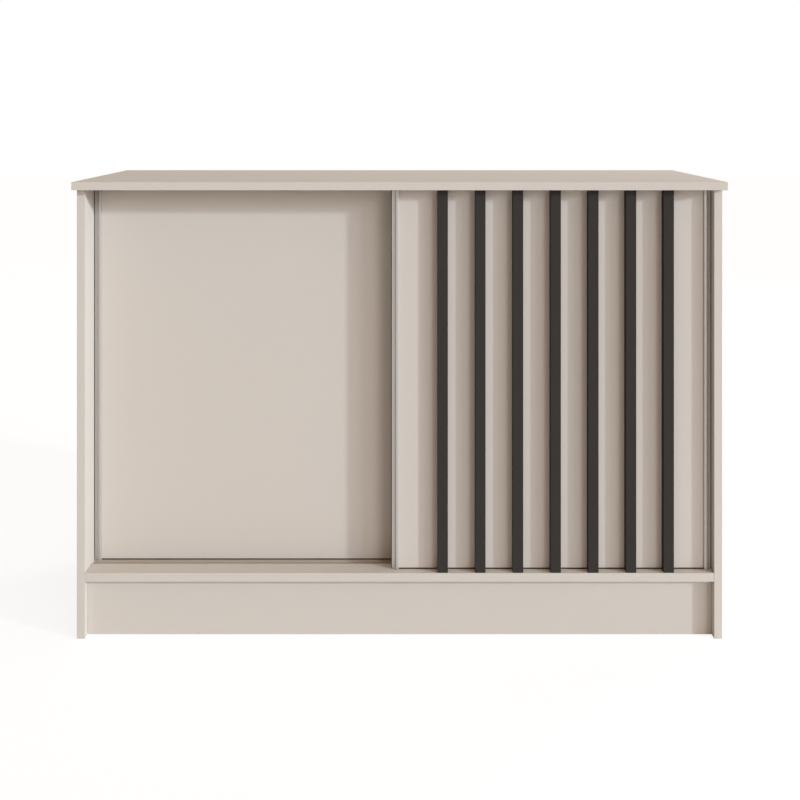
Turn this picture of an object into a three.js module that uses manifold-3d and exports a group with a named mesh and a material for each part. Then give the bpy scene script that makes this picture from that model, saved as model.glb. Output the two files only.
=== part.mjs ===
// A cabinet with two sliding doors: a laminated carcass on a plinth, a plain door in the rear track
// and a door with upright slats in the front track.
// Millimetres, +Z up, the front faces -Y, and the origin is on the floor under the middle of the top.
import * as THREE from "three";
import { mergeVertices } from "three/addons/utils/BufferGeometryUtils.js";
import Module from "manifold-3d";

const wasm = await Module();
wasm.setup();

// Overall size
const topWidth = 1200;
const topDepth = 410;
const cabinetHeight = 843;

// Carcass
const boardThickness = 15;
const easedEdge = 0.8; // the narrow flat that breaks the long edges of a board
const seam = 0.3; // between fixed pieces that meet
const sideOverhang = 5; // of the top past each side
const frontOverhang = 18; // of the top past the sides' front edges
const baseThickness = 16;
const plinthHeight = 105;
const plinthSetback = 17.5; // behind the sides' front edges
const rearPlinthInset = 30; // in front of the partition's rear edge
const backThickness = 3;
const stripFlange = 1; // thickness of the strip that joins the two back panels
const stripWeb = 1.6;
const stripWidth = 16;

// Shelves, and the pins that carry them
const interiorSetback = 106; // from the sides' front edges to the partition and the shelves
const shelfRise = 346; // from the base board to a shelf's underside
const shelfEndGap = 1;
const pinPegRadius = 2.5;
const pinPegLength = 6.4;
const pinNoseRadius = 3.5;
const pinNoseLength = 8;
const pinInset = 37; // from a shelf's front and rear edges
const pinHoleStep = 64;
const pinHoleRows = 3;

// Tracks: channels let into the base board and into the top
const trackSetback = 42; // from the sides' front edges to the front track
const doorPitch = 42; // from the front door to the rear door, and from track to track
const trackWidth = 18;
const trackWall = 1.3;
const bottomTrackHeight = 5.3;
const topTrackHeight = 8;

// Doors
const doorSetback = 18; // from the sides' front edges to the front door's face
const doorThickness = 15;
const doorOverlap = 29; // of one closed door over the other
const closedGap = 1.5; // between a closed door and its side
const doorBottomGap = 2.7;
const doorTopGap = 2;

// Aluminium handle profile on each upright edge of a door
const profileWidth = 14;
const profileEndGap = 0.5; // to the base board and to the top
const profileWall = 1.3;
const claspWidth = 1.7; // of the clasp over the panel's edge
const lipEase = 1.5; // the flat along the lip's inner corner
const lipWidth = 3.5; // from the lip's crest to the panel's side of the profile
const lipProud = 4; // in front of the panel's face
const rimWidth = 0.8; // of the rim at the outer edge
const rimSetback = 0.5; // behind the panel's face
const grooveInset = 7.6; // from the outer edge to the bottom of the finger groove
const grooveDepth = 3.2; // behind the panel's face

// Slats on the front door
const slatCount = 7;
const slatWidth = 19;
const slatDepth = 17;
const slatPitch = 69.5;
const slatShift = 6; // of the row of slats from the door's middle, towards the cabinet's side
const slatEndGap = 0.5; // to the base board and to the top
const slatEase = 0.6;

// Roller carriages at the foot of each door
const runningGap = 0.3; // between pieces that turn or slide on each other
const wheelRadius = 11;
const wheelThickness = 5;
const wheelBevel = 0.6;
const wheelHubRadius = 4.8;
const wheelRimWidth = 2.6;
const wheelDish = 0.8;
const axleRadius = 2;
const axleHeadRadius = 3.4;
const axleHeadThickness = 1;
const axleEmbedding = 5; // of the axle in its housing
const housingPlateThickness = 3;
const housingPlateWidth = 56;
const housingPlateHeight = 40;
const housingPlateRise = 4.3; // of the plate's lower edge above the door's
const housingBossWidth = 26;
const housingBossWall = 3.4; // around the axle's hole
const housingBossHeight = 30; // above the plate's lower edge
const screwHoleRadius = 2.2;
const screwInset = 8;
const carriageInset = 30; // from a door's edge to its housing plate

// Guides at the head of each door, and the stops at the ends of the top tracks
const guidePlateWidth = 42;
const guidePlateHeight = 30;
const guidePlateThickness = 3;
const guidePlateDrop = 4; // of the plate's upper edge below the door's
const guideArmWidth = 22;
const guideArmHeight = 10;
const guideNeckDepth = 6;
const guideHeadDepth = 8;
const guideHeadGap = 1.2; // above the head in its track
const guideInset = 20; // from a door's edge to its guide plate
const stopGap = 0.5;
const stopSideGap = 0.3;

// Places that follow from the sizes
const carcassFront = frontOverhang - topDepth / 2;
const backOuterFace = topDepth / 2 - stripFlange - seam;
const backInnerFace = backOuterFace - backThickness;
const carcassRear = backInnerFace - seam;
const interiorFront = carcassFront + interiorSetback;
const interiorRear = carcassRear - stripFlange - seam;
const carcassWidth = topWidth - 2 * sideOverhang;
const openingWidth = carcassWidth - 2 * boardThickness;
const baseTop = plinthHeight + baseThickness;
const topUnderside = cabinetHeight - boardThickness;
const openingHeight = topUnderside - baseTop;
const shelfUnderside = baseTop + shelfRise;
const pinLevel = shelfUnderside - seam - pinNoseRadius;
const pinPlaces = [interiorFront + pinInset, interiorRear - pinInset];
const frontTrackStart = carcassFront + trackSetback;
const trackLength = openingWidth - 2 * seam;
const doorWidth = (openingWidth + doorOverlap) / 2 - closedGap;
const panelHalfWidth = doorWidth / 2 - profileWidth + claspWidth - seam;
const doorShift = (openingWidth - doorWidth) / 2 - closedGap; // of a closed door from the cabinet's middle
const channelMiddle = trackSetback + trackWidth / 2 - doorSetback; // behind a door's face
const carriageFront = doorThickness + seam; // of the plates, behind a door's face
const axleLevel = wheelRadius + runningGap + trackWall - bottomTrackHeight; // above the base board
const carriageOffset = doorWidth / 2 - carriageInset - housingPlateWidth / 2; // from a door's middle
const guideOffset = doorWidth / 2 - guideInset - guidePlateWidth / 2; // from a door's middle
const guideReach = guideOffset + guideArmWidth / 2; // to the guide's outer end

const cutOverrun = 1; // how far a cutter runs past the face that it opens
const pinSteps = 12;
const axleSteps = 16;
const wheelSteps = 32;
const grooveSteps = 5;

const laminate = new THREE.MeshStandardMaterial({ color: 0xd2c9bf, roughness: 0.55 });
const slatBlack = new THREE.MeshStandardMaterial({ color: 0x3d3835, roughness: 0.6 });
const fibreboard = new THREE.MeshStandardMaterial({ color: 0xddd6cc, roughness: 0.7 });
const aluminium = new THREE.MeshStandardMaterial({ color: 0xc0bcb6, roughness: 0.35, metalness: 1 });
const trackPlastic = new THREE.MeshStandardMaterial({ color: 0xb3a596, roughness: 0.5 });
const housingNylon = new THREE.MeshStandardMaterial({ color: 0x35322f, roughness: 0.5 });
const wheelNylon = new THREE.MeshStandardMaterial({ color: 0xe6e3dc, roughness: 0.4 });
const steel = new THREE.MeshStandardMaterial({ color: 0xb4b3b0, roughness: 0.3, metalness: 1 });
const rubber = new THREE.MeshStandardMaterial({ color: 0x4a4744, roughness: 0.85 });

// A form is drawn in two axes and raised along the third: these turn it from Z to that third axis.
const raisedAlong = {
  x: new THREE.Matrix4().set(0, 0, 1, 0, 1, 0, 0, 0, 0, 1, 0, 0, 0, 0, 0, 1),
  y: new THREE.Matrix4().set(0, 1, 0, 0, 0, 0, 1, 0, 1, 0, 0, 0, 0, 0, 0, 1),
  z: new THREE.Matrix4(),
};

function piece(name, geometry, finish, x = 0, y = 0, z = 0) {
  const mesh = new THREE.Mesh(geometry, finish);
  mesh.name = name;
  mesh.position.set(x, y, z);
  return mesh;
}

function groupOf(members, x = 0, y = 0, z = 0) {
  const group = new THREE.Group().add(...members);
  group.position.set(x, y, z);
  return group;
}

// A board between two corners, with the edges of both faces across its thin axis eased.
function board(name, finish, low, high, thin, ease = easedEdge) {
  const size = high.map((value, i) => value - low[i]);
  const drawn = new THREE.Vector3(...size).applyMatrix4(raisedAlong[thin].clone().invert());
  const halfAcross = drawn.x / 2 - ease;
  const halfAlong = drawn.y / 2 - ease;
  const outline = new THREE.Shape([
    new THREE.Vector2(-halfAcross, -halfAlong),
    new THREE.Vector2(halfAcross, -halfAlong),
    new THREE.Vector2(halfAcross, halfAlong),
    new THREE.Vector2(-halfAcross, halfAlong),
  ]);
  const core = drawn.z - 2 * ease;
  const geometry = new THREE.ExtrudeGeometry(outline, {
    depth: core,
    bevelThickness: ease,
    bevelSize: ease,
    bevelSegments: 1,
  });
  geometry.translate(0, 0, -core / 2).applyMatrix4(raisedAlong[thin]);
  return piece(name, geometry, finish, ...low.map((value, i) => value + size[i] / 2));
}

function block(low, high) {
  const size = high.map((value, i) => value - low[i]);
  return new THREE.BoxGeometry(...size).translate(...low.map((value, i) => value + size[i] / 2));
}

// An outline of [x, y] points, wound anticlockwise and raised along an axis between two places.
function raised(points, axis, start, end, holes = []) {
  const vectors = (list) => list.map(([x, y]) => new THREE.Vector2(x, y));
  const [corners, ...inner] = [points, ...holes].map(vectors);
  const outline = new THREE.Shape(THREE.ShapeUtils.isClockWise(corners) ? corners.toReversed() : corners);
  outline.holes = inner.map((hole) => new THREE.Path(hole));
  const geometry = new THREE.ExtrudeGeometry(outline, { depth: end - start, bevelEnabled: false });
  return geometry.translate(0, 0, start).applyMatrix4(raisedAlong[axis]);
}

// A round form about an axis: its profile is a list of [radius, place along the axis].
function turned(profile, axis, steps) {
  const points = profile.map(([radius, place]) => new THREE.Vector2(radius, place));
  return new THREE.LatheGeometry(points, steps).rotateX(Math.PI / 2).applyMatrix4(raisedAlong[axis]);
}

function rod(radius, axis, start, end, steps) {
  return turned([[0, start], [radius, start], [radius, end], [0, end]], axis, steps);
}

// A turned form has triangles without area where its profile meets the axis: they are left out.
function solidOf(geometry) {
  const bare = geometry.clone();
  bare.deleteAttribute("normal");
  bare.deleteAttribute("uv");
  const merged = mergeVertices(bare);
  const triangles = [];
  for (let i = 0; i < merged.index.count; i += 3) {
    const corners = [0, 1, 2].map((corner) => merged.index.getX(i + corner));
    if (new Set(corners).size === corners.length) triangles.push(...corners);
  }
  const vertProperties = merged.attributes.position.array;
  return new wasm.Manifold(
    new wasm.Mesh({ numProp: 3, vertProperties, triVerts: new Uint32Array(triangles) }),
  );
}

// Joins the first geometries into one, and cuts the second ones out of it.
function joinAndCut(joined, cutters = []) {
  const whole = joined.map(solidOf).reduce((sum, solid) => sum.add(solid));
  const mesh = cutters.map(solidOf).reduce((rest, solid) => rest.subtract(solid), whole).getMesh();
  const geometry = new THREE.BufferGeometry();
  geometry.setAttribute("position", new THREE.BufferAttribute(mesh.vertProperties, 3));
  geometry.setIndex(new THREE.BufferAttribute(mesh.triVerts, 1));
  const faceted = geometry.toNonIndexed();
  faceted.computeVertexNormals();
  return faceted;
}

// Cuts geometries, given where they lie in the cabinet, out of a board.
function carve(mesh, cutters) {
  const { x, y, z } = mesh.position;
  const local = cutters.map((cutter) => cutter.translate(-x, -y, -z));
  mesh.geometry = joinAndCut([mesh.geometry], local);
  return mesh;
}

// The two grooves for the tracks, open at one level.
function trackGrooves(low, high) {
  return [0, doorPitch].map((setback) => {
    const start = frontTrackStart + setback - seam;
    const end = frontTrackStart + setback + trackWidth + seam;
    return block([-openingWidth / 2, start, low], [openingWidth / 2, end, high]);
  });
}

function topPanel() {
  const low = [-topWidth / 2, -topDepth / 2, topUnderside];
  const top = board("top_panel", laminate, low, [topWidth / 2, topDepth / 2, cabinetHeight], "z");
  return carve(top, trackGrooves(topUnderside - cutOverrun, topUnderside + topTrackHeight + seam));
}

function basePanel() {
  const half = openingWidth / 2 - seam;
  const base = board(
    "base_panel",
    laminate,
    [-half, carcassFront, plinthHeight],
    [half, carcassRear, baseTop],
    "z",
  );
  return carve(base, trackGrooves(baseTop - bottomTrackHeight - seam, baseTop + cutOverrun));
}

// Blind holes for shelf pins in an upright face, where hand is the way that the face looks.
function pinHoles(face, hand) {
  const ends = [face - hand * (pinPegLength + seam), face + hand * cutOverrun];
  const rows = Array.from({ length: pinHoleRows }, (unused, row) => row - (pinHoleRows - 1) / 2);
  return pinPlaces.flatMap((place) =>
    rows.map((row) =>
      rod(pinPegRadius + seam, "x", Math.min(...ends), Math.max(...ends), pinSteps).translate(
        0,
        place,
        pinLevel + row * pinHoleStep,
      ),
    ),
  );
}

function sidePanel(name, hand) {
  const inner = (hand * openingWidth) / 2;
  const outer = (hand * carcassWidth) / 2;
  const low = [Math.min(inner, outer), carcassFront, 0];
  const high = [Math.max(inner, outer), carcassRear, topUnderside - seam];
  return carve(board(name, laminate, low, high, "x"), pinHoles(inner, -hand));
}

function centrePartition() {
  const half = boardThickness / 2;
  const low = [-half, interiorFront, baseTop + seam];
  const high = [half, interiorRear, topUnderside - seam];
  const partition = board("centre_partition", laminate, low, high, "x");
  return carve(partition, [...pinHoles(half, 1), ...pinHoles(-half, -1)]);
}

function plinth(name, front) {
  const half = openingWidth / 2 - seam;
  const low = [-half, front, 0];
  return board(name, laminate, low, [half, front + boardThickness, plinthHeight - seam], "y");
}

function shelf(name, hand) {
  const ends = [hand * (boardThickness / 2 + shelfEndGap), hand * (openingWidth / 2 - shelfEndGap)];
  const low = [Math.min(...ends), interiorFront, shelfUnderside];
  const high = [Math.max(...ends), interiorRear, shelfUnderside + boardThickness];
  return board(name, laminate, low, high, "z");
}

// A pin with its peg in the face and its nose under the shelf.
function shelfPin(name, face, hand, place) {
  const profile = [
    [0, -pinPegLength],
    [pinPegRadius, -pinPegLength],
    [pinPegRadius, seam],
    [pinNoseRadius, seam],
    [pinNoseRadius, pinNoseLength],
    [0, pinNoseLength],
  ];
  const geometry = turned(profile, "x", pinSteps);
  if (hand < 0) geometry.rotateZ(Math.PI);
  return piece(name, geometry, steel, face, place, pinLevel);
}

function shelfPins() {
  const faces = {
    left_shelf_outer: [-openingWidth / 2, 1],
    left_shelf_inner: [-boardThickness / 2, -1],
    right_shelf_inner: [boardThickness / 2, 1],
    right_shelf_outer: [openingWidth / 2, -1],
  };
  const depths = ["front", "rear"];
  return Object.entries(faces).flatMap(([name, [face, hand]]) =>
    depths.map((depth, i) => shelfPin(`${name}_${depth}_pin`, face, hand, pinPlaces[i])),
  );
}

function backPanel(name, hand) {
  const ends = [hand * (stripWeb / 2 + seam), (hand * carcassWidth) / 2];
  const low = [Math.min(...ends), backInnerFace, plinthHeight];
  const high = [Math.max(...ends), backOuterFace, topUnderside - seam];
  return piece(name, block(low, high), fibreboard);
}

// The strip of H section that holds the meeting edges of the two back panels.
function backStrip() {
  const wide = stripWidth / 2;
  const web = stripWeb / 2;
  const inner = backInnerFace - seam;
  const outer = backOuterFace + seam;
  const points = [
    [-wide, inner - stripFlange],
    [wide, inner - stripFlange],
    [wide, inner],
    [web, inner],
    [web, outer],
    [wide, outer],
    [wide, outer + stripFlange],
    [-wide, outer + stripFlange],
    [-wide, outer],
    [-web, outer],
    [-web, inner],
    [-wide, inner],
  ];
  const geometry = raised(points, "z", baseTop + seam, topUnderside - seam);
  return piece("back_joining_strip", geometry, trackPlastic);
}

// A channel that opens upwards, or downwards for the top. Its floor lies on the given level.
function track(name, start, floorLevel, height, up) {
  const end = start + trackWidth;
  const floor = floorLevel + up * trackWall;
  const mouth = floorLevel + up * height;
  const points = [
    [start, floorLevel],
    [end, floorLevel],
    [end, mouth],
    [end - trackWall, mouth],
    [end - trackWall, floor],
    [start + trackWall, floor],
    [start + trackWall, mouth],
    [start, mouth],
  ];
  return piece(name, raised(points, "x", -trackLength / 2, trackLength / 2), trackPlastic);
}

// A stop fills the end of a top track, up to where the guide of a door at its limit comes to rest.
function trackStop(name, start, hand) {
  const ends = [hand * (doorShift + guideReach + stopGap), (hand * trackLength) / 2];
  const low = [Math.min(...ends), start + trackWall + stopSideGap, topUnderside + seam];
  const high = [
    Math.max(...ends),
    start + trackWidth - trackWall - stopSideGap,
    topUnderside + topTrackHeight - trackWall - seam,
  ];
  return piece(name, block(low, high), rubber);
}

// The doors are made about their own origin: the middle of the door, its face, and the base board's top.
function doorPanel(name) {
  const low = [-panelHalfWidth, 0, doorBottomGap];
  const high = [panelHalfWidth, doorThickness, openingHeight - doorTopGap];
  return board(name, laminate, low, high, "y");
}

// A quarter wave of a section, level where it starts and steepest where it ends.
function swing([start, startDepth], [end, endDepth]) {
  return Array.from({ length: grooveSteps + 1 }, (unused, i) => {
    const along = i / grooveSteps;
    const share = 1 - Math.cos((Math.PI / 2) * along);
    return [start + (end - start) * along, startDepth + (endDepth - startDepth) * share];
  });
}

// The handle's section, as distances from the door's outer edge and from the panel's face: a rim, a finger
// groove that rises to a proud lip beside the panel, a clasp round the panel's edge and a back wall.
function handleProfile(name, hand) {
  const clasp = profileWidth - claspWidth;
  const chamberEnd = clasp - profileWall;
  const crest = [profileWidth - lipWidth, -lipProud];
  const grooveBottom = [grooveInset, grooveDepth];
  const backInner = doorThickness + seam;
  const section = [
    [0, rimSetback],
    ...swing([rimWidth, rimSetback], grooveBottom),
    ...swing(crest, grooveBottom).toReversed().slice(1),
    [profileWidth - lipEase, -lipProud],
    [profileWidth, lipEase - lipProud],
    [profileWidth, -seam],
    [clasp, -seam],
    [clasp, backInner],
    [profileWidth, backInner],
    [profileWidth, backInner + profileWall],
    [0, backInner + profileWall],
  ];
  const chamber = [
    [profileWall, grooveDepth + profileWall],
    [chamberEnd, grooveDepth + profileWall],
    [chamberEnd, backInner],
    [profileWall, backInner],
  ];
  const placed = (points) => points.map(([inset, depth]) => [hand * (doorWidth / 2 - inset), depth]);
  const top = openingHeight - profileEndGap;
  return piece(name, raised(placed(section), "z", profileEndGap, top, [placed(chamber)]), aluminium);
}

// A housing carries the axle of one wheel: a plate for screws, with a boss that narrows down to the axle.
function rollerHousing(name, x) {
  const half = housingPlateWidth / 2;
  const plateLow = doorBottomGap + housingPlateRise;
  const plateHigh = plateLow + housingPlateHeight;
  const plateRear = carriageFront + housingPlateThickness;
  const bossRear = channelMiddle - wheelThickness / 2 - runningGap;
  const bossTop = plateLow + housingBossHeight;
  const bossHalf = housingBossWidth / 2;
  const footHalf = axleRadius + seam + housingBossWall;
  const boss = [
    [axleLevel - footHalf, -footHalf],
    [axleLevel - footHalf, footHalf],
    [axleLevel + footHalf, bossHalf],
    [bossTop, bossHalf],
    [bossTop, -bossHalf],
    [axleLevel + footHalf, -bossHalf],
  ];
  const holeFront = bossRear - axleEmbedding - seam;
  const axleHole = rod(axleRadius + seam, "y", holeFront, bossRear + cutOverrun, axleSteps);
  const screwHoles = [screwInset - half, half - screwInset].flatMap((across) =>
    [plateLow + screwInset, plateHigh - screwInset].map((level) => {
      const hole = rod(screwHoleRadius, "y", carriageFront - cutOverrun, plateRear + cutOverrun, pinSteps);
      return hole.translate(across, 0, level);
    }),
  );
  const plate = block([-half, carriageFront, plateLow], [half, plateRear, plateHigh]);
  const geometry = joinAndCut(
    [plate, raised(boss, "y", carriageFront, bossRear)],
    [axleHole.translate(0, 0, axleLevel), ...screwHoles],
  );
  return piece(name, geometry, housingNylon, x);
}

function axle(name, x) {
  const wheelHalf = wheelThickness / 2;
  const start = -wheelHalf - runningGap - axleEmbedding;
  const head = wheelHalf + runningGap;
  const profile = [
    [0, start],
    [axleRadius, start],
    [axleRadius, head],
    [axleHeadRadius, head],
    [axleHeadRadius, head + axleHeadThickness],
    [0, head + axleHeadThickness],
  ];
  return piece(name, turned(profile, "y", axleSteps), steel, x, channelMiddle, axleLevel);
}

// A wheel has a hub, a dished web on both sides and a rim with bevelled corners.
function wheel(name, x) {
  const half = wheelThickness / 2;
  const side = [
    [axleRadius + runningGap, half],
    [wheelHubRadius, half],
    [wheelHubRadius, half - wheelDish],
    [wheelRadius - wheelRimWidth, half - wheelDish],
    [wheelRadius - wheelRimWidth, half],
    [wheelRadius - wheelBevel, half],
    [wheelRadius, half - wheelBevel],
  ];
  const near = side.map(([radius, place]) => [radius, -place]);
  const profile = [...near, ...side.toReversed(), near[0]];
  return piece(name, turned(profile, "y", wheelSteps), wheelNylon, x, channelMiddle, axleLevel);
}

// A guide hooks over from the door's back into the top track: plate, arm, neck and head.
function topGuide(name, x) {
  const plateHalf = guidePlateWidth / 2;
  const armHalf = guideArmWidth / 2;
  const plateTop = openingHeight - doorTopGap - guidePlateDrop;
  const armLow = plateTop - guideArmHeight;
  const neckHalf = guideNeckDepth / 2;
  const headHalf = guideHeadDepth / 2;
  const headLow = openingHeight + seam;
  const headTop = openingHeight + topTrackHeight - trackWall - guideHeadGap;
  const plateLow = plateTop - guidePlateHeight;
  const plateRear = carriageFront + guidePlateThickness;
  const geometry = joinAndCut([
    block([-plateHalf, carriageFront, plateLow], [plateHalf, plateRear, plateTop]),
    block([-armHalf, carriageFront, armLow], [armHalf, channelMiddle + neckHalf, plateTop]),
    block([-armHalf, channelMiddle - neckHalf, armLow], [armHalf, channelMiddle + neckHalf, headTop]),
    block([-armHalf, channelMiddle - headHalf, headLow], [armHalf, channelMiddle + headHalf, headTop]),
  ]);
  return piece(name, geometry, housingNylon, x);
}

function slats() {
  return Array.from({ length: slatCount }, (unused, i) => {
    const middle = slatShift + (i - (slatCount - 1) / 2) * slatPitch;
    const low = [middle - slatWidth / 2, -seam - slatDepth, slatEndGap];
    const high = [middle + slatWidth / 2, -seam, openingHeight - slatEndGap];
    return board(`front_door_slat_${i + 1}`, slatBlack, low, high, "y", slatEase);
  });
}

// The pieces that both doors have, where hand is -1 for the left end of the door and 1 for the right.
function doorPieces(door) {
  const ends = { left: -1, right: 1 };
  return Object.entries(ends).flatMap(([end, hand]) => [
    handleProfile(`${door}_${end}_handle_profile`, hand),
    rollerHousing(`${door}_${end}_roller_housing`, hand * carriageOffset),
    axle(`${door}_${end}_axle`, hand * carriageOffset),
    wheel(`${door}_${end}_wheel`, hand * carriageOffset),
    topGuide(`${door}_${end}_top_guide`, hand * guideOffset),
  ]);
}

function carcass() {
  const rearPlinthFront = interiorRear - rearPlinthInset - boardThickness;
  return [
    topPanel(),
    basePanel(),
    sidePanel("left_side_panel", -1),
    sidePanel("right_side_panel", 1),
    centrePartition(),
    plinth("front_plinth", carcassFront + plinthSetback),
    plinth("rear_plinth", rearPlinthFront),
    shelf("left_shelf", -1),
    shelf("right_shelf", 1),
    ...shelfPins(),
    backPanel("left_back_panel", -1),
    backPanel("right_back_panel", 1),
    backStrip(),
  ];
}

function tracks() {
  const places = { front: frontTrackStart, rear: frontTrackStart + doorPitch };
  return Object.entries(places).flatMap(([name, start]) => [
    track(`${name}_bottom_track`, start, baseTop - bottomTrackHeight, bottomTrackHeight, 1),
    track(`${name}_top_track`, start, topUnderside + topTrackHeight, topTrackHeight, -1),
    trackStop(`${name}_track_left_stop`, start, -1),
    trackStop(`${name}_track_right_stop`, start, 1),
  ]);
}

const frontDoor = groupOf(
  [doorPanel("front_door_panel"), ...doorPieces("front_door"), ...slats()],
  doorShift,
  carcassFront + doorSetback,
  baseTop,
);
const rearDoor = groupOf(
  [doorPanel("rear_door_panel"), ...doorPieces("rear_door")],
  -doorShift,
  carcassFront + doorSetback + doorPitch,
  baseTop,
);
const cabinet = groupOf([...carcass(), ...tracks(), frontDoor, rearDoor]);

export default cabinet;
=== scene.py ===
# %% [markdown]
# A cabinet with two sliding doors, dressed around its construction model.
#
# The construction model gives every board, rail, wheel and pin its true size and place. This lesson keeps
# those places and makes what the eye looks for: boards with rounded edge bands, extruded metal with die
# lines, moulded nylon, pressed fibreboard, screws and nails, and the light that shows them.

import bpy
import numpy as np
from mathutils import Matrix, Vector


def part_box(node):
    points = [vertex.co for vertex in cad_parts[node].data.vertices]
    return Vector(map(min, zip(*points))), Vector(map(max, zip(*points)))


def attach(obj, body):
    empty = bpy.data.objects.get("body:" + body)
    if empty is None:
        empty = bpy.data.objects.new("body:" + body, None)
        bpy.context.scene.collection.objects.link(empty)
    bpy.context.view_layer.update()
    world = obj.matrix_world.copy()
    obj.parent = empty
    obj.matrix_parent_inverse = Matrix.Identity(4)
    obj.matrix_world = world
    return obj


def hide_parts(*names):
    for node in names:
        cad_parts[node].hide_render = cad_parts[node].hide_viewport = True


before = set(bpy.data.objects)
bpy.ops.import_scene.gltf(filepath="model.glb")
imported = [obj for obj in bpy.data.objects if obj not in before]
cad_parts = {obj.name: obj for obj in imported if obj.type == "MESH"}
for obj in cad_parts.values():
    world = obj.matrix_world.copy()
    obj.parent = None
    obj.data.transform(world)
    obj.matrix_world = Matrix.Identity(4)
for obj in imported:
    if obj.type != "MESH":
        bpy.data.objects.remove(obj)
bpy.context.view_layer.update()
MM = 0.001

# %% [markdown]
# The camera stands straight in front, a little above the top board, and looks level. All uprights stay
# parallel that way. The cabinet then lies low in the picture, so the lens is shifted down, as on a view
# camera. The lens and the shift follow from the place where the top's receding edges meet.

# %% Camera
PICTURE_PIXELS = 800
VANISHING_X_PIXEL = 399.6
VANISHING_Y_PIXEL = 111.5
FOCAL_PIXELS = 1100.2
CAMERA_DISTANCE = 2010 * MM  # from the top board's front edge
CAMERA_HEIGHT = 972 * MM
SENSOR = 36.0
NEAREST_SEEN = 0.05
FURTHEST_SEEN = 60

top_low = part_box("top_panel")[0]


def make_camera():
    """A level camera in front of the top's middle, whose frame is shifted by the vanishing point's offset."""
    data = bpy.data.cameras.new("camera")
    data.sensor_width = SENSOR
    data.lens = SENSOR * FOCAL_PIXELS / PICTURE_PIXELS
    data.shift_x = (PICTURE_PIXELS / 2 - VANISHING_X_PIXEL) / PICTURE_PIXELS
    data.shift_y = (VANISHING_Y_PIXEL - PICTURE_PIXELS / 2) / PICTURE_PIXELS
    data.clip_start = NEAREST_SEEN
    data.clip_end = FURTHEST_SEEN
    camera = bpy.data.objects.new("camera", data)
    camera.location = (0, top_low.y - CAMERA_DISTANCE, CAMERA_HEIGHT)
    camera.rotation_euler = (np.pi / 2, 0, 0)
    bpy.context.scene.collection.objects.link(camera)
    bpy.context.scene.camera = camera
    return camera


camera = make_camera()
print("lens", round(camera.data.lens, 2), "mm, shift", round(camera.data.shift_y, 4))

# %% [markdown]
# Shader nodes are quicker to read when one call makes a node, sets it and wires it. A value that is itself
# a socket is wired, and any other value is typed into the socket. Noises count their waves to the metre.

# %% Helpers for shader nodes
def add_node(tree, kind, inputs=None, **settings):
    """A new node in the tree, with its settings made and its inputs wired or filled in."""
    node = tree.nodes.new(kind)
    for key, value in settings.items():
        setattr(node, key, value)
    for key, value in (inputs or {}).items():
        if isinstance(value, bpy.types.NodeSocket):
            tree.links.new(value, node.inputs[key])
        else:
            node.inputs[key].default_value = value
    return node


def maths(tree, operation, first, second=0.0):
    """What a Math node makes of first and second, each of them a socket or a number."""
    return add_node(tree, "ShaderNodeMath", {0: first, 1: second}, operation=operation).outputs[0]


def new_group(name, inputs, outputs):
    """An empty shader group: its tree, inputs and output. A socket's kind goes by its count of numbers."""
    kinds = {1: "NodeSocketFloat", 3: "NodeSocketVector", 4: "NodeSocketColor"}
    tree = bpy.data.node_groups.new(name, "ShaderNodeTree")
    for key, default in inputs.items():
        kind = kinds[np.size(default)]
        tree.interface.new_socket(key, in_out="INPUT", socket_type=kind).default_value = default
    for key, numbers in outputs.items():
        tree.interface.new_socket(key, in_out="OUTPUT", socket_type=kinds[numbers])
    return tree, tree.nodes.new("NodeGroupInput").outputs, tree.nodes.new("NodeGroupOutput")


def give_out(tree, result, **values):
    """Wires each value into the group's output of that name."""
    for key, value in values.items():
        tree.links.new(value, result.inputs[key])


def shaded(tree, colour, amount):
    """The colour made lighter or darker by a signed share of itself: colour (1 + amount)."""
    gain = maths(tree, "ADD", amount, 1.0)
    return add_node(tree, "ShaderNodeVectorMath", {0: colour, "Scale": gain}, operation="SCALE").outputs[0]


def centred(tree, value, spread):
    """A noise from 0 to 1 that is made to swing about zero: (value - 0.5) spread."""
    return maths(tree, "MULTIPLY", maths(tree, "SUBTRACT", value, 0.5), spread)


def noise(tree, vector, waves, detail=2.0):
    """Smooth noise from 0 to 1, with this many waves to the metre and finer ones laid over them."""
    inputs = {"Vector": vector, "Scale": waves, "Detail": detail}
    return add_node(tree, "ShaderNodeTexNoise", inputs).outputs["Fac"]


def stretched_noise(tree, vector, waves, detail=3.0):
    """Noise with its own number of waves along each axis: its coordinates are vector times waves."""
    scaled = add_node(tree, "ShaderNodeVectorMath", {0: vector, 1: waves}, operation="MULTIPLY")
    return noise(tree, scaled.outputs[0], 1.0, detail)


def finish_group(name, inputs, recipe):
    """A group whose recipe gives the tint of its colour, its roughness and the height of its bump."""
    tree, given, result = new_group(name, inputs, {"Colour": 4, "Roughness": 1, "Height": 1})
    tint, rough, height = recipe(tree, given, add_node(tree, "ShaderNodeTexCoord").outputs["Object"])
    give_out(tree, result, Colour=shaded(tree, given["Colour"], tint), Roughness=rough, Height=height)
    return tree


# %% [markdown]
# Melamine laminate is printed paper under a pressed resin film. From a step away it is one colour, and from
# close up it has a fine pearl, like orange skin, about a millimetre across, and clouds a hand wide that are
# hardly there. Two noises at those scales make it, and the small one also breaks up the gloss. A third,
# finer still, gives the specks of the print.

# %% The laminate's surface as a group
PEARL_WAVES = 950.0
PEARL_DULLING = 0.12
CLOUD_WAVES = 4.0
CLOUD_DETAIL = 3.0
SPECK_WAVES = 2600.0
SPECK_TINT = 0.03


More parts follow.
